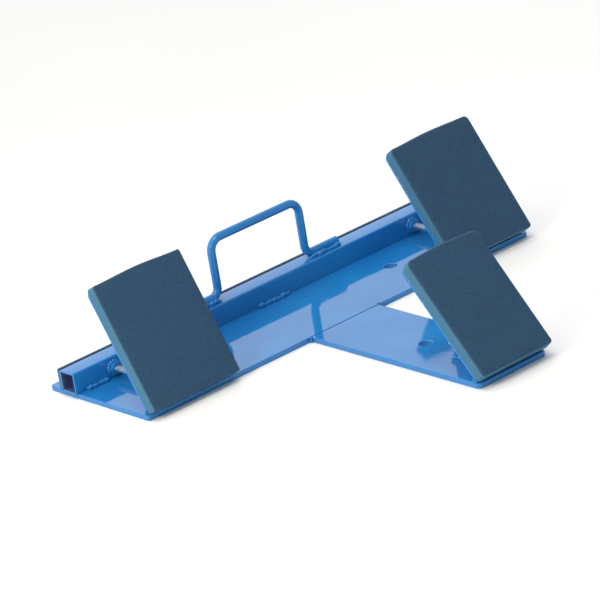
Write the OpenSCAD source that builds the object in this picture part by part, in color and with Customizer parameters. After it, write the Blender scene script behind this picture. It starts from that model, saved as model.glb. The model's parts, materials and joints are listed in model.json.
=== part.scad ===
// T-shaped floor block with three tilting rubber-faced pads.
// X runs along the bar, -Y is the side that the pads face, Z = 0 is the floor.
// The origin is on the floor, under the middle of the square tube.

/* [Base] */
// Length of the base strip along the bar
strip_len = 580; // [480:1:700]
// Depth of the base strip from its front edge to its back edge
strip_depth = 172; // [162:1:220]
// Thickness of the base strip and of the tongue plate
plate_t = 6; // [4:0.1:8]
// Corner radius of the base strip
strip_corner_r = 3; // [1:0.5:8]
// Width of the tongue plate
tongue_w = 103; // [84:1:130]
// Reach of the tongue plate in front of the strip
tongue_len = 271; // [220:1:340]
// Radius of the two front corners of the tongue plate
tongue_corner_r = 6; // [2:0.5:10]

/* [Anchor holes] */
// Diameter of the anchor holes
anchor_hole_d = 14; // [10:0.5:18]
// From a side pad's inner edge to the strip's anchor hole
strip_hole_gap = 26; // [15:1:60]
// From the strip's front edge to its anchor holes
strip_hole_set = 73; // [40:1:95]
// From the strip's front edge to the tongue's anchor hole
tongue_hole_set = 133; // [60:1:150]

/* [Square tube] */
// Outside width of the square tube
tube_w = 25; // [22:0.5:30]
// Wall of the square tube
tube_wall = 2; // [1.5:0.1:3]
// Outer corner radius of the square tube
tube_corner_r = 3.2; // [3.1:0.1:5]
// How far the square tube stands out past each end of the strip
tube_proud = 3; // [0:0.5:6]
// From the strip's front edge to the tube's front face
tube_set = 121; // [100:1:130]
// Thickness of the rubber strip on the back of the square tube
back_strip_t = 4; // [2:0.5:8]
// Height of the rubber strip on the back of the square tube
back_strip_h = 25.5; // [22:0.5:30]
// Height of the upright piece of tube that carries the front pad's screw
post_h = 25; // [22:1:32]
// From the tongue's front edge to the front face of the upright tube
post_set = 55; // [50:1:64]

/* [Handle] */
// Diameter of the handle rod
handle_rod = 10; // [8:0.5:12]
// Width of the handle between the middles of its legs
handle_w = 133.5; // [110:0.5:160]
// Height of the handle above the tube
handle_h = 77; // [60:1:100]
// Bend radius at the top corners, to the middle of the rod
handle_bend_r = 15; // [12:0.5:22]
// Bend radius above the feet, to the middle of the rod
foot_bend_r = 11; // [9:0.5:14]
// From a leg's middle to the end of its foot
foot_len = 48.5; // [30:0.5:55]

/* [Pads] */
// Width of the two side pads
side_pad_w = 124; // [90:1:150]
// Width of the front pad
front_pad_w = 106; // [84:1:130]
// From the end of the strip to the outer edge of a side pad
pad_end_inset = 1; // [0:0.5:10]
// Height of the rubber slab along the slope
pad_h = 152.5; // [110:0.5:180]
// Thickness of the steel pad plate
pad_plate_t = 3; // [2:0.1:4]
// Thickness of the rubber slab
rubber_t = 14; // [8:0.5:16]
// Corner radius of the rubber slab
rubber_corner_r = 4; // [2:0.5:10]
// Corner radius of the pad plate
pad_plate_corner_r = 8; // [2:0.5:10]
// Slope of the left pad from the floor, in degrees
left_angle = 61; // [46:0.5:70]
// Slope of the right pad from the floor, in degrees
right_angle = 55.5; // [46:0.5:70]
// Slope of the front pad from the floor, in degrees
front_angle = 49; // [46:0.5:70]
// Lowest slope that a screw allows, in degrees
angle_min = 46; // [44:1:46]
// Steepest slope that a screw allows, in degrees
angle_max = 70; // [70:1:71]

/* [Hinges] */
// From the front edge of the base to the hinge axis
hinge_set = 7.7; // [6:0.1:8]
// Outside diameter of the hinge knuckles
knuckle_d = 6; // [5:0.1:7]
// Diameter of the hinge pin
pin_d = 3.2; // [2.4:0.1:3.6]
// Length of each knuckle on the base
knuckle_len = 24; // [15:1:28]
// From the pad's side edge to the first knuckle
knuckle_inset = 3; // [2:0.5:6]
// How far the pin stands out of the outer knuckles
pin_proud = 1; // [0.5:0.1:2]
// How far the rubber hangs below the hinge axis, along the slope
rubber_drop = 6; // [3:0.1:6.5]
// How far the pad plate hangs below the hinge axis, along the slope
plate_drop = 3.5; // [2.5:0.1:3.5]
// Height of the web that joins a pad's knuckle to its plate, along the slope
web_h = 4.5; // [3:0.1:6]
// How far that web hangs below the hinge axis, along the slope
web_drop = 1.5; // [1:0.1:2.5]

/* [Screws] */
// Nominal diameter of the adjusting screws
screw_d = 8; // [6:0.1:10]
// Thread pitch of the adjusting screws
screw_pitch = 1.25; // [1:0.05:1.5]
// Depth of the thread
thread_depth = 0.675; // [0.5:0.005:0.8]
// Width of the flat on the crest of the thread
thread_crest = 0.3125; // [0.1:0.0025:0.4]
// Height of the screw axis above the base plates
screw_rise = 11.5; // [10.5:0.1:12.5]
// How much further out than its pad's middle each side screw stands
side_screw_spread = 2; // [0:0.5:10]
// Shift of both side screws along the bar
side_screw_off = -8; // [-15:1:15]
// Space left under a screw head when its pad stands at the steepest slope
head_gap = 2; // [1:0.1:8]
// Width across flats of the nuts and screw heads
hex_af = 13; // [11:0.1:16]
// Height of the welded nuts
nut_h = 6.5; // [5:0.1:8]
// Height of the screw heads
head_h = 5.3; // [4:0.1:7]

/* [Welds] */
// Leg of the fillet welds
weld_leg = 4.5; // [3:0.1:6]
// Length of the stitch welds near the ends of the tube
end_stitch_len = 25; // [15:1:40]
// Length of the stitch weld in the middle of the tube
mid_stitch_len = 44; // [20:1:60]
// From the end of the strip to the nearest stitch weld
end_stitch_inset = 15; // [5:1:40]
// Leg of the fillet around each nut
nut_weld_leg = 1.6; // [1:0.1:2]
// Height of the welds along the handle's feet
foot_weld_h = 4; // [3:0.1:4.5]
// How far those welds stand out past the side of the rod
foot_weld_out = 1.5; // [1:0.1:2.5]
// From the middle of the rod to the inner edge of those welds
foot_weld_in = 1.5; // [1:0.1:2.5]

/* [Clearances] */
// Radial clearance of the hinge pin in a turning knuckle
run_clear = 0.05; // [0.02:0.01:0.1]
// Radial clearance of the hinge pin in a fixed knuckle
fixed_clear = 0.02; // [0.01:0.01:0.05]
// Radial clearance of a screw in its nut
thread_clear = 0.05; // [0.02:0.01:0.1]
// Radial clearance of a screw in the tube walls
hole_clear = 0.5; // [0.3:0.1:1]
// Gap between pieces that pass each other
part_gap = 0.3; // [0.2:0.05:0.5]
// Gap left beside a weld that follows a round rod
weld_gap = 0.05; // [0.02:0.01:0.1]

/* [Hidden] */
$fn = 64;
cut = 1;
paint = "#2f80c8";
rubber_blue = "#35546c";
zinc = "#c4c8ce";

tube_front_y = -tube_w / 2;
strip_front_y = tube_front_y - tube_set;
strip_mid_y = strip_front_y + strip_depth / 2;
tongue_front_y = strip_front_y - tongue_len;
tube_mid_z = plate_t + tube_w / 2;
tube_top_z = plate_t + tube_w;
tube_inner_r = tube_corner_r - tube_wall;
side_pad_x = strip_len / 2 - pad_end_inset - side_pad_w / 2;
strip_hole_x = side_pad_x - side_pad_w / 2 - strip_hole_gap;
strip_hole_y = strip_front_y + strip_hole_set;
tongue_hole_y = strip_front_y - tongue_hole_set;
post_front_y = tongue_front_y + post_set;
post_mid_y = post_front_y + tube_w / 2;

hinge_z = plate_t + part_gap + knuckle_d / 2;
plate_back = knuckle_d / 2 + part_gap;
pad_top = pad_h - rubber_drop;
side_hinge_y = strip_front_y + hinge_set;
front_hinge_y = tongue_front_y + hinge_set;

screw_z = plate_t + screw_rise;
screw_over_hinge = screw_z - hinge_z;
tip_r = screw_d / 2;
hex_d = hex_af / cos(30);
nut_weld_r = hex_d / 2 + nut_weld_leg;
left_screw_x = side_screw_off - side_pad_x - side_screw_spread;
right_screw_x = side_screw_off + side_pad_x + side_screw_spread;

handle_leg_x = handle_w / 2;
handle_top_z = tube_top_z + handle_h - handle_rod / 2;
foot_z = tube_top_z + handle_rod / 2;
foot_start_x = handle_leg_x + foot_bend_r;
foot_end_x = handle_leg_x + foot_len;

// How far behind the hinge axis a screw's round tip touches the pad plate at slope a
function tip_contact(a) = (tip_r - plate_back + screw_over_hinge * cos(a)) / sin(a);
// Travel of a screw for one degree of slope, the same over the whole range
tip_rate = (tip_contact(angle_min) - tip_contact(angle_max)) / (angle_max - angle_min);
// Place of the middle of a screw's round tip behind the hinge axis, never touching the plate
function tip_set(a) = tip_contact(angle_max) + (angle_max - a) * tip_rate;
// Length under the head of a screw from its pad to the back face of its tube
function screw_len(hinge_y, back_y) = back_y + head_gap - hinge_y - tip_contact(angle_max) + tip_r;
side_screw_len = screw_len(side_hinge_y, tube_w / 2 + back_strip_t);
front_screw_len = screw_len(front_hinge_y, post_mid_y + tube_w / 2);

// Rectangle with round corners, centred
module rounded_rect(w, d, r) {
    square([w - 2 * r, d], center = true);
    square([w, d - 2 * r], center = true);
    for (x = [-1, 1], y = [-1, 1])
        translate([x * (w / 2 - r), y * (d / 2 - r)]) circle(r);
}

// Length of square tube along X, centred on its own axis
module square_tube(len) {
    rotate([90, 0, 90]) linear_extrude(len, center = true) difference() {
        rounded_rect(tube_w, tube_w, tube_corner_r);
        rounded_rect(tube_w - 2 * tube_wall, tube_w - 2 * tube_wall, tube_inner_r);
    }
}

// Clearance hole for a screw through both walls of a tube
module screw_hole(x, y) {
    translate([x, y, screw_z]) rotate([90, 0, 0])
        cylinder(h = tube_w + 2 * cut, r = screw_d / 2 + hole_clear, center = true);
}

// Anchor hole through a base plate
module anchor_hole(x, y) {
    translate([x, y, -cut]) cylinder(h = plate_t + 2 * cut, d = anchor_hole_d);
}

// Cylinder along X, centred
module x_rod(len, r) {
    rotate([0, 90, 0]) cylinder(h = len, r = r, center = true);
}

// Pad's own frame: Y up the slope from the hinge axis, Z out of the pad's face
module on_hinge(x, y, slope) {
    translate([x, y, hinge_z]) rotate([slope, 0, 0]) children();
}

module pad_plate(x, y, slope, w) {
    h = pad_top + plate_drop;
    on_hinge(x, y, slope) translate([0, h / 2 - plate_drop, plate_back])
        linear_extrude(pad_plate_t) rounded_rect(w, h, pad_plate_corner_r);
}

module rubber_slab(x, y, slope, w) {
    on_hinge(x, y, slope) translate([0, pad_h / 2 - rubber_drop, plate_back + pad_plate_t])
        linear_extrude(rubber_t) rounded_rect(w, pad_h, rubber_corner_r);
}

// The two outer knuckles of a hinge, each on a square foot on the base plate
module base_knuckles(x, y, w) {
    for (side = [-1, 1])
        translate([x + side * (w / 2 - knuckle_inset - knuckle_len / 2), y, hinge_z])
            difference() {
                union() {
                    x_rod(knuckle_len, knuckle_d / 2);
                    translate([-knuckle_len / 2, -knuckle_d / 2, plate_t - hinge_z])
                        cube([knuckle_len, knuckle_d, hinge_z - plate_t]);
                }
                x_rod(knuckle_len + 2 * cut, pin_d / 2 + fixed_clear);
            }
}

// The long middle knuckle of a hinge, with its web against the back of the pad plate
module pad_knuckle(x, y, slope, w) {
    len = w - 2 * (knuckle_inset + knuckle_len + part_gap);
    on_hinge(x, y, slope) difference() {
        union() {
            x_rod(len, knuckle_d / 2);
            translate([-len / 2, -web_drop, 0]) cube([len, web_h, plate_back]);
        }
        x_rod(len + 2 * cut, pin_d / 2 + run_clear);
    }
}

module hinge_pin(x, y, w) {
    translate([x, y, hinge_z]) x_rod(w - 2 * (knuckle_inset - pin_proud), pin_d / 2);
}

// Six-sided prism along +Y with its flats up and down
module hex_prism(h) {
    rotate([-90, 0, 0]) cylinder(h = h, d = hex_d, $fn = 6);
}

// Nut on a tube's front face
module screw_nut(x, face_y) {
    translate([x, face_y - nut_h, screw_z]) difference() {
        hex_prism(nut_h);
        rotate([-90, 0, 0]) translate([0, 0, -cut])
            cylinder(h = nut_h + 2 * cut, r = screw_d / 2 + thread_clear);
    }
}

// Fillet around the root of a nut
module nut_weld(x, face_y) {
    translate([x, face_y, screw_z]) difference() {
        rotate([90, 0, 0]) cylinder(h = nut_weld_leg, r1 = nut_weld_r, r2 = hex_d / 2);
        translate([0, -nut_weld_leg - cut, 0]) hex_prism(nut_weld_leg + 2 * cut);
    }
}

// Round-tipped screw along +Y, threaded up to its hexagon head
module adjusting_screw(x, hinge_y, slope, len) {
    root_r = screw_d / 2 - thread_depth;
    shank = len - tip_r;
    threads = floor((shank - tip_r) / screw_pitch);
    start = shank - threads * screw_pitch;
    outline = [for (i = [0:threads - 1]) each [
        [screw_d / 2, start + i * screw_pitch + thread_crest / 2],
        [root_r, start + (i + 0.5) * screw_pitch],
        [screw_d / 2, start + (i + 1) * screw_pitch - thread_crest / 2]
    ]];
    translate([x, hinge_y + tip_set(slope), screw_z]) rotate([-90, 0, 0]) {
        sphere(tip_r);
        cylinder(h = start, r = root_r);
        rotate_extrude() polygon(concat([[0, start]], [[root_r, start]], outline, [[0, shank]]));
        translate([0, 0, shank - thread_crest / 2]) cylinder(h = head_h, d = hex_d, $fn = 6);
    }
}

// Fillet weld along X in the corner between a front face and a plate top
module fillet_bead(len) {
    rotate([90, 0, 90]) linear_extrude(len, center = true)
        polygon([[0, 0], [-weld_leg, 0], [0, weld_leg]]);
}

// Quarter bend of the handle rod, in the XZ plane
module rod_bend(r) {
    rotate([90, 0, 0]) rotate_extrude(angle = 90) translate([r, 0]) circle(d = handle_rod);
}

// One leg of the handle with half of the grip and one foot, on the +X side
module handle_half() {
    grip = handle_leg_x - handle_bend_r;
    leg_top = handle_top_z - handle_bend_r;
    leg_foot = foot_z + foot_bend_r;
    translate([grip / 2, 0, handle_top_z]) x_rod(grip, handle_rod / 2);
    translate([grip, 0, leg_top]) rod_bend(handle_bend_r);
    translate([handle_leg_x, 0, leg_foot]) cylinder(h = leg_top - leg_foot, d = handle_rod);
    translate([foot_start_x, 0, leg_foot]) rotate([0, 180, 0]) rod_bend(foot_bend_r);
    translate([(foot_start_x + foot_end_x) / 2, 0, foot_z])
        x_rod(foot_end_x - foot_start_x, handle_rod / 2);
}

// Fillet on one side of the +X foot, between the rod and the top of the tube
module foot_weld() {
    len = foot_end_x - foot_start_x;
    r = handle_rod / 2;
    top_y = sqrt(r * r - (r - foot_weld_h) * (r - foot_weld_h));
    translate([(foot_start_x + foot_end_x) / 2, 0, tube_top_z]) difference() {
        rotate([90, 0, 90]) linear_extrude(len, center = true)
            polygon([[foot_weld_in, 0], [r + foot_weld_out, 0], [top_y, foot_weld_h]]);
        translate([0, 0, r]) x_rod(len + 2 * cut, r + weld_gap);
    }
}

module base_strip() {
    color(paint) difference() {
        translate([0, strip_mid_y, 0]) linear_extrude(plate_t)
            rounded_rect(strip_len, strip_depth, strip_corner_r);
        for (side = [-1, 1]) anchor_hole(side * strip_hole_x, strip_hole_y);
    }
}

module tongue_plate() {
    r = tongue_corner_r;
    color(paint) difference() {
        union() {
            translate([-tongue_w / 2, tongue_front_y + r, 0]) cube([tongue_w, tongue_len - r, plate_t]);
            translate([-tongue_w / 2 + r, tongue_front_y, 0]) cube([tongue_w - 2 * r, tongue_len, plate_t]);
            for (side = [-1, 1])
                translate([side * (tongue_w / 2 - r), tongue_front_y + r, 0]) cylinder(h = plate_t, r = r);
        }
        anchor_hole(0, tongue_hole_y);
    }
}

module spine_tube() {
    color(paint) difference() {
        translate([0, 0, tube_mid_z]) square_tube(strip_len + 2 * tube_proud);
        screw_hole(left_screw_x, 0);
        screw_hole(right_screw_x, 0);
    }
}

// Strip of rubber along the whole back of the square tube
module back_rubber_strip() {
    len = strip_len + 2 * tube_proud;
    color(rubber_blue) difference() {
        translate([-len / 2, tube_w / 2, plate_t]) cube([len, back_strip_t, back_strip_h]);
        screw_hole(left_screw_x, tube_w / 2);
        screw_hole(right_screw_x, tube_w / 2);
    }
}

module screw_post() {
    color(paint) difference() {
        translate([0, post_mid_y, plate_t + post_h / 2]) rotate([0, 90, 0]) square_tube(post_h);
        screw_hole(0, post_mid_y);
    }
}

module carry_handle() {
    color(paint) {
        handle_half();
        mirror([1, 0, 0]) handle_half();
    }
}

module left_pad_plate() {
    color(paint) pad_plate(-side_pad_x, side_hinge_y, left_angle, side_pad_w);
}

module right_pad_plate() {
    color(paint) pad_plate(side_pad_x, side_hinge_y, right_angle, side_pad_w);
}

module front_pad_plate() {
    color(paint) pad_plate(0, front_hinge_y, front_angle, front_pad_w);
}

module left_rubber_pad() {
    color(rubber_blue) rubber_slab(-side_pad_x, side_hinge_y, left_angle, side_pad_w);
}

module right_rubber_pad() {
    color(rubber_blue) rubber_slab(side_pad_x, side_hinge_y, right_angle, side_pad_w);
}

module front_rubber_pad() {
    color(rubber_blue) rubber_slab(0, front_hinge_y, front_angle, front_pad_w);
}

module left_base_knuckles() {
    color(paint) base_knuckles(-side_pad_x, side_hinge_y, side_pad_w);
}

module right_base_knuckles() {
    color(paint) base_knuckles(side_pad_x, side_hinge_y, side_pad_w);
}

module front_base_knuckles() {
    color(paint) base_knuckles(0, front_hinge_y, front_pad_w);
}

module left_pad_knuckle() {
    color(paint) pad_knuckle(-side_pad_x, side_hinge_y, left_angle, side_pad_w);
}

module right_pad_knuckle() {
    color(paint) pad_knuckle(side_pad_x, side_hinge_y, right_angle, side_pad_w);
}

module front_pad_knuckle() {
    color(paint) pad_knuckle(0, front_hinge_y, front_angle, front_pad_w);
}

module left_hinge_pin() {
    color(zinc) hinge_pin(-side_pad_x, side_hinge_y, side_pad_w);
}

module right_hinge_pin() {
    color(zinc) hinge_pin(side_pad_x, side_hinge_y, side_pad_w);
}

module front_hinge_pin() {
    color(zinc) hinge_pin(0, front_hinge_y, front_pad_w);
}

module left_screw_nut() {
    color(paint) screw_nut(left_screw_x, tube_front_y);
}

module right_screw_nut() {
    color(paint) screw_nut(right_screw_x, tube_front_y);
}

module front_screw_nut() {
    color(paint) screw_nut(0, post_front_y);
}

module left_adjusting_screw() {
    color(zinc) adjusting_screw(left_screw_x, side_hinge_y, left_angle, side_screw_len);
}

module right_adjusting_screw() {
    color(zinc) adjusting_screw(right_screw_x, side_hinge_y, right_angle, side_screw_len);
}

module front_adjusting_screw() {
    color(zinc) adjusting_screw(0, front_hinge_y, front_angle, front_screw_len);
}

module spine_stitch_welds() {
    end_x = strip_len / 2 - end_stitch_inset - end_stitch_len / 2;
    color(paint) translate([0, tube_front_y, plate_t]) {
        fillet_bead(mid_stitch_len);
        for (side = [-1, 1]) translate([side * end_x, 0, 0]) fillet_bead(end_stitch_len);
    }
}

// Beads up the two inner corners between the tongue and the strip
module tongue_welds() {
    color(paint) for (side = [0, 1])
        mirror([side, 0, 0]) translate([tongue_w / 2, strip_front_y, 0])
            linear_extrude(plate_t) polygon([[0, 0], [0, -weld_leg], [weld_leg, 0]]);
}

// Beads along both sides and the back of the upright tube
module post_welds() {
    len = tube_w - 2 * tube_corner_r;
    color(paint) translate([0, post_mid_y, plate_t]) for (turn = [90, 180, 270])
        rotate(turn) translate([0, -tube_w / 2, 0]) fillet_bead(len);
}

module handle_foot_welds() {
    color(paint) for (mx = [0, 1], my = [0, 1])
        mirror([mx, 0, 0]) mirror([0, my, 0]) foot_weld();
}

module nut_welds() {
    color(paint) {
        nut_weld(left_screw_x, tube_front_y);
        nut_weld(right_screw_x, tube_front_y);
        nut_weld(0, post_front_y);
    }
}

base_strip();
tongue_plate();
spine_tube();
back_rubber_strip();
screw_post();
carry_handle();
left_pad_plate();
right_pad_plate();
front_pad_plate();
left_rubber_pad();
right_rubber_pad();
front_rubber_pad();
left_base_knuckles();
right_base_knuckles();
front_base_knuckles();
left_pad_knuckle();
right_pad_knuckle();
front_pad_knuckle();
left_hinge_pin();
right_hinge_pin();
front_hinge_pin();
left_screw_nut();
right_screw_nut();
front_screw_nut();
left_adjusting_screw();
right_adjusting_screw();
front_adjusting_screw();
spine_stitch_welds();
tongue_welds();
post_welds();
handle_foot_welds();
nut_welds();
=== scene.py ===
import json
import random
from math import cos, pi, radians, sin

import bmesh
import bpy
from mathutils import Matrix, Vector

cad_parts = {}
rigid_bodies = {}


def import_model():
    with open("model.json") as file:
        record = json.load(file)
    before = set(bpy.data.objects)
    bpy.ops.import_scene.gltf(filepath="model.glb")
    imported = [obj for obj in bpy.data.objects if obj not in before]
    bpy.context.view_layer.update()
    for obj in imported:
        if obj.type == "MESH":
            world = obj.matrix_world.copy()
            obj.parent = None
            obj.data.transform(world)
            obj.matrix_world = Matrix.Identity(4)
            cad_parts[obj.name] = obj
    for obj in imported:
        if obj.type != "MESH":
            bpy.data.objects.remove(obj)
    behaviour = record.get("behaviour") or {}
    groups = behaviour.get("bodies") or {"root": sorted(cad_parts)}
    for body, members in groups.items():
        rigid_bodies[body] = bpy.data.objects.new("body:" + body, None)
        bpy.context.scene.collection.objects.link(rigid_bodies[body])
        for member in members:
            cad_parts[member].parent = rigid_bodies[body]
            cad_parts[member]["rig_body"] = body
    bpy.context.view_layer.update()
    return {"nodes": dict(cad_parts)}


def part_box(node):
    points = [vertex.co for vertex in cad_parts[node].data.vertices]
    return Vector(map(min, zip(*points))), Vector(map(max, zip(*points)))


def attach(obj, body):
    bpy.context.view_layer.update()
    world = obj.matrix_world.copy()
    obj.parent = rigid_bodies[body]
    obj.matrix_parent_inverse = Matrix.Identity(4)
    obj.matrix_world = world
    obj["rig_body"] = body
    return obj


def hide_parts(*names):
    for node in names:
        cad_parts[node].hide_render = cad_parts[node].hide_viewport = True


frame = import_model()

MM = 0.001

# Sizes of the part, in millimetres: X along the bar, -Y the way the pads face, Z up from the floor.
PLATE_TOP, HOLE_R = 6, 7
STRIP_X, STRIP_FRONT, STRIP_BACK, STRIP_CORNER = 290, -133.5, 38.5, 3
STRIP_HOLES = [(-139, -60.5), (139, -60.5)]
TONGUE_X, TONGUE_FRONT, TONGUE_CORNER, TONGUE_HOLE = 51.5, -404.5, 6, (0, -266.5)
TUBE_X, TUBE_HALF, TUBE_MID, TUBE_TOP, TUBE_WALL = 293, 12.5, 18.5, 31, 2
BACK_STRIP_T, BACK_STRIP_TOP = 4, 31.5
POST_Y, POST_H = -337, 25
SCREW_Z, SCREW_R, SCREW_HOLE_R = 17.5, 4, 4.5
PITCH, HALF_CREST, FLANK, THREAD_DEPTH = 1.25, 0.155, 0.47, 0.675
SIDE_SCREWS = {"left": -237, "right": 221}
SIDE_SCREW_LEN, FRONT_SCREW_LEN = 144.57, 74.57
HEX_FLATS, NUT_H, HEAD_H, HEAD_SUNK = 13, 6.5, 5.3, 0.15
ROD_R, LEG_X, GRIP_Z, GRIP_BEND = 5, 66.75, 103, 15
FOOT_Z, FOOT_BEND, FOOT_END = 36, 11, 115.25
HINGE_Z, KNUCKLE_R, KNUCKLE_LEN, KNUCKLE_INSET = 9.3, 3, 24, 3
PIN_R, PIN_PROUD, WEB_LOW, WEB_HIGH = 1.6, 1, -1.5, 2.9
RUN_CLEAR, FIXED_CLEAR, PART_GAP = 0.05, 0.02, 0.3
RUBBER_FOOT, PAD_TOP, RUBBER_FACE = -6, 146.5, 20.3
PLATE_FOOT, PAD_PLATE_TOP, PLATE_BACK, PLATE_FRONT = -3.5, 144.1, 3.3, 6.3
SIDE_W, FRONT_W = 124, 106
# Middle and half length of each stitch weld along the tube, and how far a bead reaches into a wall.
STITCHES = ((-262.5, 10), (0, 19), (262.5, 10))
SUNK = 0.4
# Radii that filing, wear and paint leave on corners and edges.
PLATE_EDGE, HOLE_RIM, STRIP_SEAM, TONGUE_SEAM = 0.9, 1.4, 2.4, 2
TUBE_EDGE, TUBE_CORNER, TUBE_FOOT, POST_CORNER = 0.35, 2.1, 0.6, 3.2
ROD_EDGE, BACK_STRIP_EDGE = 0.6, 0.6
PAD_PLATE_EDGE, PAD_PLATE_CORNER, RUBBER_EDGE, RUBBER_BACK = 0.8, 8, 0.5, 1.2
ROLL_EDGE, PAD_ROLL_EDGE, PIN_EDGE, NUT_EDGE, HEAD_EDGE = 0.3, 0.25, 0.35, 0.45, 0.25
# How near a place has to be to count as there, and how straight a direction is when along an axis.
NEAR, TOUCH, ALONG = 0.1, 0.01, 0.9
# Vertices closer than this, in metres, are one.
MERGE = 0.00001
# Each pad: X and Y of its hinge, its slope at rest in degrees, and its width.
PADS = {
    "left": (-227, -125.8, 61, SIDE_W),
    "right": (227, -125.8, 55.5, SIDE_W),
    "front": (0, -396.8, 49, FRONT_W),
}


# ---------------------------------------------------------------- work bench

def named(name):
    """Names the object that was just added."""
    obj = bpy.context.object
    obj.name = obj.data.name = name
    return obj


def only(*objs):
    """Selects these objects alone; the first is the active one."""
    bpy.ops.object.select_all(action="DESELECT")
    for obj in objs:
        obj.select_set(True)
    bpy.context.view_layer.objects.active = objs[0]


def settle(obj):
    """Puts an object's place, turn and size into its mesh."""
    only(obj)
    bpy.ops.object.transform_apply(location=True, rotation=True, scale=True)
    return obj


def block(name, low, high):
    """A cube between two corners, in mm."""
    bpy.ops.object.select_all(action="DESELECT")
    bpy.ops.mesh.primitive_cube_add(
        size=1,
        location=[(a + b) / 2 * MM for a, b in zip(low, high)],
        scale=[(b - a) * MM for a, b in zip(low, high)],
    )
    return settle(named(name))


def bar(name, radius, length, at, turn=(0, 0, 0), sides=48):
    """A round or many-sided bar, in mm, along its own Z before it is turned."""
    bpy.ops.object.select_all(action="DESELECT")
    bpy.ops.mesh.primitive_cylinder_add(
        vertices=sides, radius=radius * MM, depth=length * MM,
        location=[c * MM for c in at], rotation=turn,
    )
    return settle(named(name))


def edit(obj):
    """Opens an object's mesh for editing, with all of it selected."""
    only(obj)
    bpy.ops.object.mode_set(mode="EDIT")
    bpy.ops.mesh.select_mode(type="VERT")
    bpy.ops.mesh.select_all(action="SELECT")


def done():
    bpy.ops.object.mode_set(mode="OBJECT")


def pick(kind, test):
    """Selects the vertices, edges or faces whose middle, in mm, and direction pass the test.

    A RIM is an open edge, a CREASE an edge where two faces meet sharply.
    """
    bpy.ops.mesh.select_mode(type=kind if kind in ("VERT", "FACE") else "EDGE")
    bpy.ops.mesh.select_all(action="DESELECT")
    mesh = bmesh.from_edit_mesh(bpy.context.object.data)
    mesh.normal_update()
    if kind == "VERT":
        hits = [v for v in mesh.verts if test(v.co / MM, v.normal)]
    elif kind == "FACE":
        hits = [f for f in mesh.faces if test(f.calc_center_median() / MM, f.normal)]
    else:
        hits = []
        for e in mesh.edges:
            a, b = e.verts[0].co, e.verts[1].co
            sharp = e.calc_face_angle(0) > radians(40)
            fits = {"EDGE": True, "RIM": e.is_boundary, "CREASE": sharp}[kind]
            if fits and test((a + b) / 2 / MM, (b - a).normalized()):
                hits.append(e)
    for hit in hits:
        hit.select_set(True)
    bmesh.update_edit_mesh(bpy.context.object.data)


def move(x=0, y=0, z=0):
    bpy.ops.transform.translate(value=(x * MM, y * MM, z * MM))


def extrude(x=0, y=0, z=0):
    bpy.ops.mesh.extrude_region_move(TRANSFORM_OT_translate={"value": (x * MM, y * MM, z * MM)})


def round_off(width, segments):
    bpy.ops.mesh.bevel(offset=width * MM, segments=segments, affect="EDGES", profile=0.5)


def modify(obj, kind, **settings):
    """Adds a modifier and applies it."""
    only(obj)
    bpy.ops.object.modifier_add(type=kind)
    mod = obj.modifiers[-1]
    for key, value in settings.items():
        setattr(mod, key, value)
    bpy.ops.object.modifier_apply(modifier=mod.name)
    return obj


def carve(obj, tool, operation="DIFFERENCE"):
    """Cuts obj with a tool shape, which is then thrown away."""
    modify(obj, "BOOLEAN", operation=operation, object=tool, solver="EXACT")
    bpy.data.objects.remove(tool)
    return obj


def ease(obj, width, segments=3, angle=38):
    """Rounds every edge sharper than the angle, as filing and a coat of paint leave it."""
    only(obj)
    bpy.ops.object.shade_smooth()
    return modify(
        obj, "BEVEL", width=width * MM, segments=segments, limit_method="ANGLE",
        angle_limit=radians(angle), harden_normals=True, miter_outer="MITER_ARC",
    )


def copied(obj, name):
    """A copy with its own mesh."""
    only(obj)
    bpy.ops.object.duplicate(linked=False)
    return named(name)


def joined(name, objs):
    """Several objects made into one."""
    only(*objs)
    bpy.ops.object.join()
    return named(name)


def lean(obj, pad):
    """Takes a pad piece from the bench, Y up the slope and Z out of its face, to its hinge."""
    x, y, slope, _ = PADS[pad]
    obj.rotation_euler = (radians(slope), 0, 0)
    obj.location = (x * MM, y * MM, HINGE_Z * MM)
    return settle(obj)


def stands_for(obj, node):
    """The piece takes the place of a CAD node: it rides on the node's body, and the node is hidden.
    """
    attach(obj, frame["nodes"][node]["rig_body"])
    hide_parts(node)


# ---------------------------------------------------------------- materials

def linear(hex_colour):
    """sRGB hex to linear RGBA."""
    parts = [int(hex_colour[i:i + 2], 16) / 255 for i in (1, 3, 5)]
    return [p / 12.92 if p <= 0.04045 else ((p + 0.055) / 1.055) ** 2.4 for p in parts] + [1]


def add(tree, kind, settings, **links):
    """Adds a node; settings are sockets or properties, links are sockets fed by other sockets."""
    node = tree.nodes.new(kind)
    for key, value in settings.items():
        if isinstance(key, int) or key in node.inputs:
            node.inputs[key].default_value = value
        else:
            setattr(node, key, value)
    for key, source in links.items():
        tree.links.new(source, node.inputs[key.replace("_", " ")])
    return node


def new_material(name):
    mat = bpy.data.materials.new(name)
    mat.use_nodes = True
    mat.node_tree.nodes.clear()
    return mat, mat.node_tree


def paint_over(obj, mat):
    obj.data.materials.clear()
    obj.data.materials.append(mat)


def ramp(node, *stops):
    """Sets the two stops of a colour ramp: (position, hex colour)."""
    for element, (position, colour) in zip(node.color_ramp.elements, stops):
        element.position = position
        element.color = linear(colour)


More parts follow.
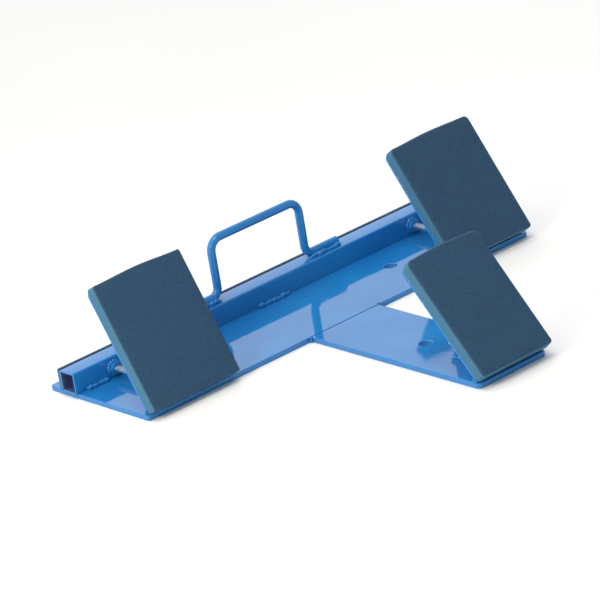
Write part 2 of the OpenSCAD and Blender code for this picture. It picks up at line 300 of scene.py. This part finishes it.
# Gloss enamel, sprayed and baked on steel: a hard clear skin that mirrors its surroundings,
# with slow waves where the film sagged and a faint orange peel. The real peel is about 1.5 mm
# and too fine to show, so it is drawn at 5 mm.
enamel, t = new_material("gloss_blue_enamel")
where = add(t, "ShaderNodeTexCoord", {}).outputs["Object"]
film = add(t, "ShaderNodeTexNoise", {"Scale": 1 / 0.07, "Detail": 2.0, "Roughness": 0.5},
           Vector=where)
tone = add(t, "ShaderNodeValToRGB", {}, Fac=film.outputs["Fac"])
ramp(tone, (0.3, "#1e72b5"), (0.7, "#247cbe"))
waves = add(t, "ShaderNodeTexNoise", {"Scale": 1 / 0.04, "Detail": 2.0, "Roughness": 0.5},
            Vector=where)
peel = add(t, "ShaderNodeTexNoise", {"Scale": 1 / 0.005, "Detail": 1.0, "Roughness": 0.4},
           Vector=where)
slow = add(t, "ShaderNodeBump", {"Strength": 1.0, "Distance": 0.0002}, Height=waves.outputs["Fac"])
fine = add(t, "ShaderNodeBump", {"Strength": 1.0, "Distance": 0.000006},
           Height=peel.outputs["Fac"], Normal=slow.outputs["Normal"])
skin = add(t, "ShaderNodeBsdfPrincipled", {"Roughness": 0.06, "IOR": 1.5},
           Base_Color=tone.outputs["Color"], Normal=fine.outputs["Normal"])
add(t, "ShaderNodeOutputMaterial", {}, Surface=skin.outputs["BSDF"])

# Moulded rubber face: matt pebbles, with painted shade that darkens the valleys between them. The
# real pebbles are about
# 1 mm and too fine to show, so they are drawn at 2.4 mm.
rubber, t = new_material("pebbled_blue_rubber")
where = add(t, "ShaderNodeTexCoord", {}).outputs["Object"]
pebbles = add(t, "ShaderNodeTexVoronoi",
              {"Scale": 1 / 0.0024, "feature": "SMOOTH_F1", "Smoothness": 0.6}, Vector=where)
cloud = add(t, "ShaderNodeTexNoise", {"Scale": 1 / 0.03, "Detail": 4.0, "Roughness": 0.6},
            Vector=where)
# Painted shade: the colour darkens from each pebble's middle out into the valleys between pebbles.
pebble_valley_shade = add(t, "ShaderNodeValToRGB", {}, Fac=pebbles.outputs["Distance"])
ramp(pebble_valley_shade, (0.1, "#2a506f"), (0.75, "#1c3b57"))
cast = add(t, "ShaderNodeValToRGB", {}, Fac=cloud.outputs["Fac"])
ramp(cast, (0.3, "#224561"), (0.7, "#274b69"))
shade = add(t, "ShaderNodeMix", {"data_type": "RGBA", "blend_type": "MIX", "Factor": 0.5})
t.links.new(pebble_valley_shade.outputs["Color"], shade.inputs[6])
t.links.new(cast.outputs["Color"], shade.inputs[7])
bumps = add(t, "ShaderNodeBump", {"Strength": 1.0, "Distance": 0.00025, "invert": True},
            Height=pebbles.outputs["Distance"])
skin = add(t, "ShaderNodeBsdfPrincipled",
           {"Roughness": 0.62, "IOR": 1.5, "Specular IOR Level": 0.35},
           Base_Color=shade.outputs[2], Normal=bumps.outputs["Normal"])
add(t, "ShaderNodeOutputMaterial", {}, Surface=skin.outputs["BSDF"])

# The same rubber where the slab was cut from its sheet: paler than the face, and open-pored.
cut_rubber, t = new_material("cut_rubber_edge")
where = add(t, "ShaderNodeTexCoord", {}).outputs["Object"]
pores = add(t, "ShaderNodeTexNoise", {"Scale": 1 / 0.0012, "Detail": 3.0, "Roughness": 0.7},
            Vector=where)
tone = add(t, "ShaderNodeValToRGB", {}, Fac=pores.outputs["Fac"])
ramp(tone, (0.3, "#386782"), (0.7, "#427390"))
bumps = add(t, "ShaderNodeBump", {"Strength": 0.6, "Distance": 0.0001},
            Height=pores.outputs["Fac"])
skin = add(t, "ShaderNodeBsdfPrincipled",
           {"Roughness": 0.8, "IOR": 1.5, "Specular IOR Level": 0.3},
           Base_Color=tone.outputs["Color"], Normal=bumps.outputs["Normal"])
add(t, "ShaderNodeOutputMaterial", {}, Surface=skin.outputs["BSDF"])

# Bright zinc plate on turned steel: a satin metal with a cool cast and cloudy gloss.
zinc, t = new_material("bright_zinc_plate")
where = add(t, "ShaderNodeTexCoord", {}).outputs["Object"]
cloud = add(t, "ShaderNodeTexNoise", {"Scale": 1 / 0.002, "Detail": 3.0, "Roughness": 0.6},
            Vector=where)
tone = add(t, "ShaderNodeValToRGB", {}, Fac=cloud.outputs["Fac"])
ramp(tone, (0.3, "#b9c0cb"), (0.7, "#d3d6d8"))
gloss = add(t, "ShaderNodeMapRange", {"To Min": 0.2, "To Max": 0.36}, Value=cloud.outputs["Fac"])
skin = add(t, "ShaderNodeBsdfPrincipled", {"Metallic": 1.0},
           Base_Color=tone.outputs["Color"], Roughness=gloss.outputs["Result"])
add(t, "ShaderNodeOutputMaterial", {}, Surface=skin.outputs["BSDF"])

# Inside of the drawn tube, which the spray hardly reaches: dark mill scale with blue overspray.
bare_steel, t = new_material("mill_scale_steel")
where = add(t, "ShaderNodeTexCoord", {}).outputs["Object"]
scale = add(t, "ShaderNodeTexNoise", {"Scale": 1 / 0.006, "Detail": 4.0, "Roughness": 0.65},
            Vector=where)
tone = add(t, "ShaderNodeValToRGB", {}, Fac=scale.outputs["Fac"])
ramp(tone, (0.35, "#333c5e"), (0.65, "#4564a2"))
skin = add(t, "ShaderNodeBsdfPrincipled", {"Roughness": 0.6, "IOR": 1.5},
           Base_Color=tone.outputs["Color"])
add(t, "ShaderNodeOutputMaterial", {}, Surface=skin.outputs["BSDF"])

# Pale matt studio floor.
floor_paint, t = new_material("pale_floor")
where = add(t, "ShaderNodeTexCoord", {}).outputs["Object"]
cloud = add(t, "ShaderNodeTexNoise", {"Scale": 1 / 0.4, "Detail": 2.0}, Vector=where)
tone = add(t, "ShaderNodeValToRGB", {}, Fac=cloud.outputs["Fac"])
ramp(tone, (0.3, "#f1f1f0"), (0.7, "#f4f4f3"))
skin = add(t, "ShaderNodeBsdfPrincipled", {"Roughness": 0.7, "Specular IOR Level": 0.2},
           Base_Color=tone.outputs["Color"])
add(t, "ShaderNodeOutputMaterial", {}, Surface=skin.outputs["BSDF"])


# ---------------------------------------------------------------- base plates

def drilled(plate, holes):
    """Drills a plate, rounds the holes' upper rims as paint does, eases its edges and paints it."""
    for x, y in holes:
        carve(plate, bar("drill", HOLE_R, length=20, at=(x, y, PLATE_TOP / 2)))
        edit(plate)
        pick("EDGE", lambda at, along: at.z > PLATE_TOP - TOUCH
             and (at.xy - Vector((x, y))).length < HOLE_R + NEAR)
        round_off(HOLE_RIM, segments=4)
        done()
    ease(plate, PLATE_EDGE)
    modify(plate, "WEIGHTED_NORMAL", mode="FACE_AREA", weight=60)
    paint_over(plate, enamel)


strip = block("painted_strip", (-STRIP_X, STRIP_FRONT, 0), (STRIP_X, STRIP_BACK, PLATE_TOP))
edit(strip)
pick("EDGE", lambda at, along: abs(along.z) > ALONG)
round_off(STRIP_CORNER, segments=4)
pick("EDGE", lambda at, along: abs(along.x) > ALONG and at.y < STRIP_FRONT + NEAR
     and at.z > PLATE_TOP - NEAR)
round_off(STRIP_SEAM, segments=5)
done()
drilled(strip, STRIP_HOLES)
stands_for(strip, "base_strip")

tongue = block("painted_tongue", (-TONGUE_X, TONGUE_FRONT, 0), (TONGUE_X, STRIP_FRONT, PLATE_TOP))
edit(tongue)
pick("EDGE", lambda at, along: abs(along.z) > ALONG and at.y < TONGUE_FRONT + NEAR)
round_off(TONGUE_CORNER, segments=6)
pick("EDGE", lambda at, along: abs(along.x) > ALONG and at.y > STRIP_FRONT - NEAR
     and at.z > PLATE_TOP - NEAR)
round_off(TONGUE_SEAM, segments=5)
done()
drilled(tongue, [TONGUE_HOLE])
stands_for(tongue, "tongue_plate")


# ---------------------------------------------------------------- square tubes

def square_tube(name, half_len, corner, foot_corner, *drills):
    """A length of square tube along X on the bench, drilled through its front at (x, z).

    It is painted outside and bare inside. Paint fills the crease under the corners it stands on.
    """
    tube = block(name, (-half_len, -TUBE_HALF, -TUBE_HALF), (half_len, TUBE_HALF, TUBE_HALF))
    edit(tube)
    for high, radius in ((True, corner), (False, foot_corner)):
        pick("EDGE", lambda at, along: abs(along.x) > ALONG and (at.z > 0) == high)
        round_off(radius, segments=7)
    pick("FACE", lambda at, out: abs(out.x) > ALONG)
    bpy.ops.mesh.inset(thickness=TUBE_WALL * MM, use_even_offset=True)
    bpy.ops.mesh.bridge_edge_loops()
    bpy.ops.mesh.select_all(action="SELECT")
    bpy.ops.mesh.normals_make_consistent(inside=False)
    done()
    for x, z in drills:
        carve(tube, bar("drill", SCREW_HOLE_R, length=40, at=(x, 0, z), turn=(pi / 2, 0, 0)))
    ease(tube, TUBE_EDGE, segments=2)
    paint_over(tube, enamel)
    tube.data.materials.append(bare_steel)
    inside = TUBE_HALF - TUBE_WALL + 0.05
    for face in tube.data.polygons:
        face.material_index = int(max(abs(face.center.y), abs(face.center.z)) < inside * MM)
    return tube


low = SCREW_Z - TUBE_MID
drills = [(x, low) for x in SIDE_SCREWS.values()]
tube = square_tube("painted_tube", TUBE_X, TUBE_CORNER, TUBE_FOOT, *drills)
tube.location.z = TUBE_MID * MM
stands_for(settle(tube), "spine_tube")

post = square_tube("painted_post", POST_H / 2, POST_CORNER, POST_CORNER, (-low, 0))
post.rotation_euler.y = pi / 2
post.location = (0, POST_Y * MM, TUBE_MID * MM)
stands_for(settle(post), "screw_post")

backing = block(
    "tube_back_rubber", (-TUBE_X, TUBE_HALF, PLATE_TOP),
    (TUBE_X, TUBE_HALF + BACK_STRIP_T, BACK_STRIP_TOP),
)
for x in SIDE_SCREWS.values():
    at = (x, TUBE_HALF, SCREW_Z)
    carve(backing, bar("drill", SCREW_HOLE_R, length=20, at=at, turn=(pi / 2, 0, 0)))
ease(backing, BACK_STRIP_EDGE)
backing.data.materials.append(rubber)
backing.data.materials.append(cut_rubber)
for face in backing.data.polygons:
    face.material_index = int(abs(face.normal.x) > 0.5)
stands_for(backing, "back_rubber_strip")


# ---------------------------------------------------------------- carry handle

bpy.ops.object.select_all(action="DESELECT")
bpy.ops.mesh.primitive_circle_add(
    vertices=32, radius=ROD_R * MM, fill_type="NOTHING",
    location=(-FOOT_END * MM, 0, FOOT_Z * MM), rotation=(0, pi / 2, 0),
)
handle = settle(named("bent_handle"))


def bend(x, z, quarter):
    """Sweeps the end of the rod through a quarter turn about a point of the XZ plane."""
    bpy.ops.mesh.spin(steps=10, angle=quarter * pi / 2, center=(x * MM, 0, z * MM), axis=(0, 1, 0))


edit(handle)
foot_run = FOOT_END - LEG_X - FOOT_BEND
leg_run = GRIP_Z - GRIP_BEND - FOOT_Z - FOOT_BEND
extrude(x=foot_run)
bend(-LEG_X - FOOT_BEND, FOOT_Z + FOOT_BEND, 1)
extrude(z=leg_run)
bend(-LEG_X + GRIP_BEND, GRIP_Z - GRIP_BEND, -1)
extrude(x=2 * (LEG_X - GRIP_BEND))
bend(LEG_X - GRIP_BEND, GRIP_Z - GRIP_BEND, -1)
extrude(z=-leg_run)
bend(LEG_X + FOOT_BEND, FOOT_Z + FOOT_BEND, 1)
extrude(x=foot_run)
for side in (-1, 1):
    pick("VERT", lambda at, out: abs(at.x - side * FOOT_END) < TOUCH)
    bpy.ops.mesh.edge_face_add()
bpy.ops.mesh.select_all(action="SELECT")
bpy.ops.mesh.remove_doubles(threshold=MERGE)
bpy.ops.mesh.normals_make_consistent(inside=False)
done()
ease(handle, ROD_EDGE)
paint_over(handle, enamel)
stands_for(handle, "carry_handle")


# ---------------------------------------------------------------- pads

def pad_plate(name, width):
    """The steel backing of a pad, flat on the bench; it ends below the rubber's drooping top."""
    low, high = (-width / 2, PLATE_FOOT, PLATE_BACK), (width / 2, PAD_PLATE_TOP, PLATE_FRONT)
    plate = block(name, low, high)
    edit(plate)
    pick("EDGE", lambda at, along: abs(along.z) > ALONG)
    round_off(PAD_PLATE_CORNER, segments=6)
    done()
    ease(plate, PAD_PLATE_EDGE)
    paint_over(plate, enamel)
    return plate


def rubber_slab(name, width, droops, corners, rim):
    """A slab cut by hand from pebbled sheet: soft front rim, and a top that droops at both ends.

    droops are how far it droops at its left and right end. corners are the radii at the lower left,
    lower right, upper left and upper right corner, and rim is that of the front rim.
    """
    lowest_top = PAD_TOP - 6
    slab = block(name, (-width / 2, RUBBER_FOOT, PLATE_FRONT), (width / 2, PAD_TOP, RUBBER_FACE))
    edit(slab)
    pick("EDGE", lambda at, along: abs(along.x) > ALONG)
    bpy.ops.mesh.subdivide(number_cuts=9)
    pick("EDGE", lambda at, along: abs(along.y) > ALONG)
    bpy.ops.mesh.subdivide(number_cuts=9)
    for side, droop in zip((-1, 1), droops):
        pick("VERT", lambda at, out: at.y > PAD_TOP - NEAR and at.x * side > width / 2 - NEAR)
        bpy.ops.transform.translate(
            value=(0, -droop * MM, 0), use_proportional_edit=True,
            proportional_edit_falloff="SMOOTH", proportional_size=width * 0.5 * MM,
        )
    for radius, (side, high) in zip(corners, ((-1, False), (1, False), (-1, True), (1, True))):
        pick("EDGE", lambda at, along: abs(along.z) > ALONG and at.x * side > width / 2 - NEAR
             and (at.y > lowest_top if high else at.y < RUBBER_FOOT + NEAR))
        round_off(radius, segments=6)
    pick("CREASE", lambda at, along: at.z > RUBBER_FACE - TOUCH)
    round_off(rim, segments=6)
    pick("CREASE", lambda at, along: at.z < PLATE_FRONT + TOUCH)
    round_off(RUBBER_BACK, segments=4)
    done()
    ease(slab, RUBBER_EDGE, segments=2)
    slab.data.materials.append(rubber)
    slab.data.materials.append(cut_rubber)
    for face in slab.data.polygons:
        face.material_index = int(face.normal.z < 0.5)
    return slab


left_plate, front_plate = pad_plate("left_plate", SIDE_W), pad_plate("front_plate", FRONT_W)
right_plate = copied(left_plate, "right_plate")
right_slab = rubber_slab(
    "right_rubber", SIDE_W, droops=(2, 1.6), corners=(4, 3.5, 6, 6), rim=3.2,
)
left_slab = rubber_slab(
    "left_rubber", SIDE_W, droops=(1.6, 2.8), corners=(2.6, 2.4, 4, 2.4), rim=2.2,
)
front_slab = rubber_slab(
    "front_rubber", FRONT_W, droops=(2, 2.4), corners=(3.5, 4, 8, 5), rim=3,
)
for pad, plate, slab in (
    ("right", right_plate, right_slab),
    ("left", left_plate, left_slab),
    ("front", front_plate, front_slab),
):
    stands_for(lean(plate, pad), pad + "_pad_plate")
    stands_for(lean(slab, pad), pad + "_rubber_pad")


# ---------------------------------------------------------------- hinges

def base_knuckle(name):
    """One rolled knuckle with straight legs down to the base, along X."""
    bpy.ops.object.select_all(action="DESELECT")
    bpy.ops.mesh.primitive_circle_add(
        vertices=40, radius=KNUCKLE_R * MM, fill_type="NOTHING",
        location=(-KNUCKLE_LEN / 2 * MM, 0, HINGE_Z * MM), rotation=(0, pi / 2, 0),
    )
    roll = settle(named(name))
    edit(roll)
    pick("VERT", lambda at, out: at.z < HINGE_Z - TOUCH)
    bpy.ops.mesh.delete(type="VERT")
    pick("VERT", lambda at, out: at.z < HINGE_Z + TOUCH)
    extrude(z=PLATE_TOP - HINGE_Z)
    bpy.ops.mesh.select_all(action="SELECT")
    bpy.ops.mesh.edge_face_add()
    extrude(x=KNUCKLE_LEN)
    bpy.ops.mesh.select_all(action="SELECT")
    bpy.ops.mesh.normals_make_consistent(inside=False)
    done()
    bore = PIN_R + FIXED_CLEAR
    carve(roll, bar("drill", bore, length=40, at=(0, 0, HINGE_Z), turn=(0, pi / 2, 0)))
    return ease(roll, ROLL_EDGE, segments=2, angle=50)


roll = base_knuckle("left_knuckles")
paint_over(roll, enamel)
for pad in ("right", "front", "left"):
    x, y, _, width = PADS[pad]
    pair = []
    for side in (-1, 1):
        one = copied(roll, pad + "_knuckle")
        one.location = ((x + side * (width / 2 - KNUCKLE_INSET - KNUCKLE_LEN / 2)) * MM, y * MM, 0)
        pair.append(settle(one))
    stands_for(joined(pad + "_fixed_knuckles", pair), pad + "_base_knuckles")
bpy.data.objects.remove(roll)


def pad_knuckle(name, width):
    """The long knuckle on the back of a pad plate, with its web, on the bench."""
    length = width - 2 * (KNUCKLE_INSET + KNUCKLE_LEN + PART_GAP)
    roll = bar(name, KNUCKLE_R, length, (0, 0, 0), (0, pi / 2, 0), 40)
    web = block("web", (-length / 2, WEB_LOW, 0), (length / 2, WEB_HIGH, PLATE_BACK))
    carve(roll, web, "UNION")
    bore = PIN_R + RUN_CLEAR
    carve(roll, bar("drill", bore, length=200, at=(0, 0, 0), turn=(0, pi / 2, 0)))
    ease(roll, PAD_ROLL_EDGE, segments=2, angle=50)
    paint_over(roll, enamel)
    return roll


def hinge_pin(name, width):
    """A cut length of wire rod with broken edges, on the bench; its ends are painted."""
    length = width - 2 * (KNUCKLE_INSET - PIN_PROUD)
    pin = bar(name, PIN_R, length, (0, 0, 0), (0, pi / 2, 0), 32)
    ease(pin, PIN_EDGE, segments=2)
    paint_over(pin, zinc)
    pin.data.materials.append(enamel)
    for face in pin.data.polygons:
        face.material_index = int(abs(face.center.x) > (width / 2 - KNUCKLE_INSET) * MM)
    return pin


for pad, (_, _, _, width) in PADS.items():
    stands_for(lean(pad_knuckle(pad + "_moving_knuckle", width), pad), pad + "_pad_knuckle")
    stands_for(lean(hinge_pin(pad + "_wire_pin", width), pad), pad + "_hinge_pin")


# ---------------------------------------------------------------- nuts and screws

def hexagon(name, height):
    """A six-sided blank along +Y from the origin, flats up and down, far corners chamfered."""
    chamfer_in, chamfer_down = 1.25, 0.75
    corner = HEX_FLATS / 2 / cos(pi / 6)
    blank = bar(name, corner, height, (0, height / 2, 0), (pi / 2, pi / 6, 0), 6)
    # The turning is a hair wider than the corners, so only its chamfer cuts.
    turned = bar("turned", corner * 1.01, height, (0, height / 2, 0), (pi / 2, 0, 0), 72)
    edit(turned)
    pick("FACE", lambda at, out: out.y > ALONG)
    bpy.ops.mesh.inset(thickness=chamfer_in * MM)
    pick("EDGE", lambda at, along: at.y > height - TOUCH
         and Vector((at.x, 0, at.z)).length > corner)
    move(y=-chamfer_down)
    done()
    return carve(blank, turned, "INTERSECT")


nut = hexagon("nut_blank", NUT_H)
nut.rotation_euler = (0, 0, pi)
settle(nut)
bore = SCREW_R + RUN_CLEAR
carve(nut, bar("drill", bore, length=30, at=(0, 0, 0), turn=(pi / 2, 0, 0)))
ease(nut, NUT_EDGE, segments=3, angle=20)
paint_over(nut, enamel)
for pad, (x, y) in {
    "left": (SIDE_SCREWS["left"], -TUBE_HALF),
    "right": (SIDE_SCREWS["right"], -TUBE_HALF),
    "front": (0, POST_Y - TUBE_HALF),
}.items():
    one = copied(nut, pad + "_welded_nut")
    one.location = (x * MM, y * MM, SCREW_Z * MM)
    stands_for(settle(one), pad + "_screw_nut")
bpy.data.objects.remove(nut)


def adjusting_screw(name, length):
    """A set screw along +Y from the middle of its round tip, with a thread and a hexagon head."""
    shank = length - SCREW_R
    turns = int((shank - SCREW_R) / PITCH)
    first = shank - turns * PITCH
    bpy.ops.object.select_all(action="DESELECT")
    bpy.ops.mesh.primitive_plane_add(size=MM, location=(0, 0, 0))
    thread = settle(named("thread"))
    edit(thread)
    bpy.ops.mesh.merge(type="CENTER")
    move(x=SCREW_R, y=first)
    down, up = (-THREAD_DEPTH, FLANK), (THREAD_DEPTH, FLANK)
    for dx, dy in ((0, HALF_CREST), down, up, (0, HALF_CREST)):
        step = (dx * MM, dy * MM, 0)
        bpy.ops.mesh.extrude_vertices_move(TRANSFORM_OT_translate={"value": step})
    done()
    modify(thread, "SCREW", axis="Y", screw_offset=PITCH * MM, iterations=turns - 1, steps=20,
           render_steps=20, use_merge_vertices=True, merge_threshold=MERGE)
    edit(thread)
    bpy.ops.mesh.remove_doubles(threshold=MERGE)
    pick("RIM", lambda at, along: at.y < shank / 2)
    bpy.ops.mesh.edge_face_add()
    pick("RIM", lambda at, along: at.y > shank / 2)
    bpy.ops.mesh.edge_face_add()
    bpy.ops.mesh.select_all(action="SELECT")
    bpy.ops.mesh.normals_make_consistent(inside=False)
    if bmesh.from_edit_mesh(thread.data).calc_volume(signed=True) < 0:
        bpy.ops.mesh.flip_normals()
    done()
    only(thread)
    bpy.ops.object.shade_smooth_by_angle(angle=radians(25))
    bpy.ops.object.select_all(action="DESELECT")
    bpy.ops.mesh.primitive_uv_sphere_add(
        segments=32, ring_count=16, radius=SCREW_R * MM, rotation=(pi / 2, 0, 0),
    )
    tip = settle(named("tip"))
    edit(tip)
    bpy.ops.mesh.bisect(plane_co=(0, 0, 0), plane_no=(0, 1, 0), clear_outer=True)
    pick("VERT", lambda at, out: at.y > -TOUCH)
    bpy.ops.mesh.edge_face_add()
    # A short collar, a cone down to the root of the thread, and a core that runs into the thread.
    collar, cone, root = 0.6, 0.7, 0.83
    extrude(y=collar)
    extrude(y=cone)
    bpy.ops.transform.resize(value=(root, 1, root))
    extrude(y=first)
    bpy.ops.mesh.select_all(action="SELECT")
    bpy.ops.mesh.normals_make_consistent(inside=False)
    done()
    only(tip)
    bpy.ops.object.shade_smooth_by_angle(angle=radians(25))
    head = hexagon("head", HEAD_H)
    head.location = (0, (shank - HEAD_SUNK) * MM, 0)
    settle(head)
    ease(head, HEAD_EDGE, segments=2, angle=20)
    screw = joined(name, [thread, tip, head])
    paint_over(screw, zinc)
    return screw


side_screw = adjusting_screw("left_set_screw", SIDE_SCREW_LEN)
front_screw = adjusting_screw("front_set_screw", FRONT_SCREW_LEN)
for pad, screw in (
    ("right", copied(side_screw, "right_set_screw")),
    ("left", side_screw),
    ("front", front_screw),
):
    node = pad + "_adjusting_screw"
    low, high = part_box(node)
    screw.location = ((low.x + high.x) / 2, low.y + SCREW_R * MM, SCREW_Z * MM)
    stands_for(settle(screw), node)


# ---------------------------------------------------------------- welds

dice = random.Random(7)


def drop(at, axes, turn):
    """One drop of weld metal, an uneven ball."""
    bpy.ops.object.select_all(action="DESELECT")
    bpy.ops.mesh.primitive_uv_sphere_add(segments=20, ring_count=12, radius=MM, location=at * MM)
    ball = named("drop")
    ball.rotation_euler = turn
    ball.scale = axes
    return settle(ball)


def run(start, end, out, reach, step):
    """Uneven drops along a corner; out is the way the bead faces, reach the length of its legs."""
    start, end, out = Vector(start), Vector(end), Vector(out).normalized()
    along = (end - start).normalized()
    side = along.cross(out)
    turn = Matrix((along, side, out)).transposed().to_euler()
    count = max(1, round((end - start).length / step))
    drops = []
    for i in range(count + 1):
        swell = dice.uniform(0.75, 1.2)
        at = start.lerp(end, i / count) + along * dice.uniform(-0.25, 0.25) * step
        at += out * reach * dice.uniform(0.08, 0.2) + side * dice.uniform(-0.12, 0.12) * reach
        drops.append(drop(at, (step * 1.05, reach * 0.78 * swell, reach * 0.5 * swell), turn))
    return drops


def ring(x, y):
    """Drops round the root of a nut."""
    count, radius, wide, deep = 13, 7.1, 2.7, 2.4
    drops = []
    for i in range(count):
        turn = i / count * 2 * pi
        swell = dice.uniform(0.85, 1.15)
        at = Vector((x + radius * cos(turn), y, SCREW_Z + radius * sin(turn)))
        drops.append(drop(at, (wide * swell, deep * swell, wide * swell), (0, 0, 0)))
    return drops


def weld(name, node, drops, *walls):
    """Melts drops together, cuts them off inside the walls that they sit on, and paints them."""
    beads = joined(name, drops)
    beads.data.remesh_voxel_size = 0.45 * MM
    bpy.ops.object.voxel_remesh()
    modify(beads, "SMOOTH", factor=0.5, iterations=8)
    for low, high in walls:
        carve(beads, block("wall", low, high))
    only(beads)
    bpy.ops.object.shade_smooth_by_angle(angle=radians(50))
    paint_over(beads, enamel)
    stands_for(beads, node)


# Boxes of the walls, low and high corner: what a bead has inside them is cut off.
post_front, post_back = POST_Y - TUBE_HALF, POST_Y + TUBE_HALF
under_plates = ((-320, -440, -20), (320, 60, PLATE_TOP - SUNK))
under_floor = ((-80, -160, -20), (80, -100, 0.1))
under_handle = ((-140, -40, 0), (140, 40, TUBE_TOP - 0.7))
in_tube = ((-320, -TUBE_HALF + SUNK, -10), (320, 30, 60))
in_post = ((-TUBE_HALF + SUNK, post_front + SUNK, -10), (TUBE_HALF - SUNK, post_back - SUNK, 60))

drops = []
for x, half in STITCHES:
    start, end = ((x + side * half, -TUBE_HALF, PLATE_TOP) for side in (-1, 1))
    drops += run(start, end, (0, -1, 1), reach=6.8, step=5)
weld("spine_weld_beads", "spine_stitch_welds", drops, under_plates, in_tube)

drops = []
for side in (-1, 1):
    start, end = ((side * TONGUE_X, STRIP_FRONT, z) for z in (1.5, 5))
    drops += run(start, end, (side, -1, 0), reach=4.6, step=3)
weld("tongue_weld_beads", "tongue_welds", drops, under_floor)

drops = run((-8, post_back, PLATE_TOP), (8, post_back, PLATE_TOP), (0, 1, 1), reach=5.4, step=4.5)
for side in (-1, 1):
    x = side * TUBE_HALF
    start, end = (x, POST_Y - 8, PLATE_TOP), (x, POST_Y + 8, PLATE_TOP)
    drops += run(start, end, (side, 0, 1), reach=5, step=4.5)
weld("post_weld_beads", "post_welds", drops, under_plates, in_post)

drops = []
for side in (-1, 1):
    for near_x, y, out, reach in ((72, -4.4, (0, -1, 0.8), 6.6), (77, 4.4, (0, 1, 0.9), 5.2)):
        start, end = ((side * x, y, TUBE_TOP) for x in (near_x, 112))
        drops += run(start, end, out, reach, step=5.2)
weld("handle_weld_beads", "handle_foot_welds", drops, under_handle)

drops = []
for x in SIDE_SCREWS.values():
    drops += ring(x, -TUBE_HALF)
drops += ring(0, post_front)
weld("nut_weld_beads", "nut_welds", drops, under_plates, in_tube, in_post)


# ---------------------------------------------------------------- studio

bpy.ops.object.select_all(action="DESELECT")
floor_under = 0.0003
bpy.ops.mesh.primitive_plane_add(size=14, location=(0, 0, -floor_under))
floor = settle(named("studio_floor"))
paint_over(floor, floor_paint)

scene = bpy.context.scene
scene.view_settings.view_transform = "Standard"
sky = bpy.data.worlds.new("white_studio")
scene.world = sky
sky.use_nodes = True
t = sky.node_tree
t.nodes.clear()
# The studio is brightest behind the bar, on the left.
aim = add(t, "ShaderNodeVectorMath", {"operation": "DOT_PRODUCT", 1: (-0.5, 0.85, 0)},
          Vector=add(t, "ShaderNodeTexCoord", {}).outputs["Generated"])
glow = add(t, "ShaderNodeMapRange",
           {"From Min": -0.5, "From Max": 0.6, "To Min": 0.45, "To Max": 1.5},
           Value=aim.outputs["Value"])
light = add(t, "ShaderNodeBackground", {"Color": linear("#ffffff")},
            Strength=glow.outputs["Result"])
add(t, "ShaderNodeOutputWorld", {}, Surface=light.outputs["Background"])


def area_light(name, at, size, energy, colour):
    """A soft square light, aimed at the middle of the object."""
    bpy.ops.object.light_add(type="AREA", location=at)
    lamp = bpy.context.object
    lamp.name = name
    lamp.data.size, lamp.data.energy, lamp.data.color = size, energy, linear(colour)[:3]
    way = Vector((0, -0.15, 0.05)) - lamp.location
    lamp.rotation_euler = way.to_track_quat("-Z", "Y").to_euler()


area_light("key_light", (-0.95, -0.35, 0.6), size=0.22, energy=3.4, colour="#fff3d8")
area_light("overhead_light", (-0.5, -0.7, 2.4), size=0.8, energy=16, colour="#ffffff")

# The camera's place, turn and lens come from a fit to edges in the photo.
camera_data = bpy.data.cameras.new("camera")
camera = bpy.data.objects.new("camera", camera_data)
scene.collection.objects.link(camera)
right = Vector((0.73651, -0.65852, -0.15462))
up = Vector((0.35428, 0.18080, 0.91750))
back = Vector((-0.57623, -0.73052, 0.36646))
turn = Matrix((right, up, back)).transposed().to_4x4()
camera.matrix_world = Matrix.Translation((-2.6769, -3.4538, 1.7188)) @ turn
camera_data.sensor_width = 36
camera_data.lens = 246.2
camera_data.clip_start, camera_data.clip_end = 0.05, 50
scene.camera = camera
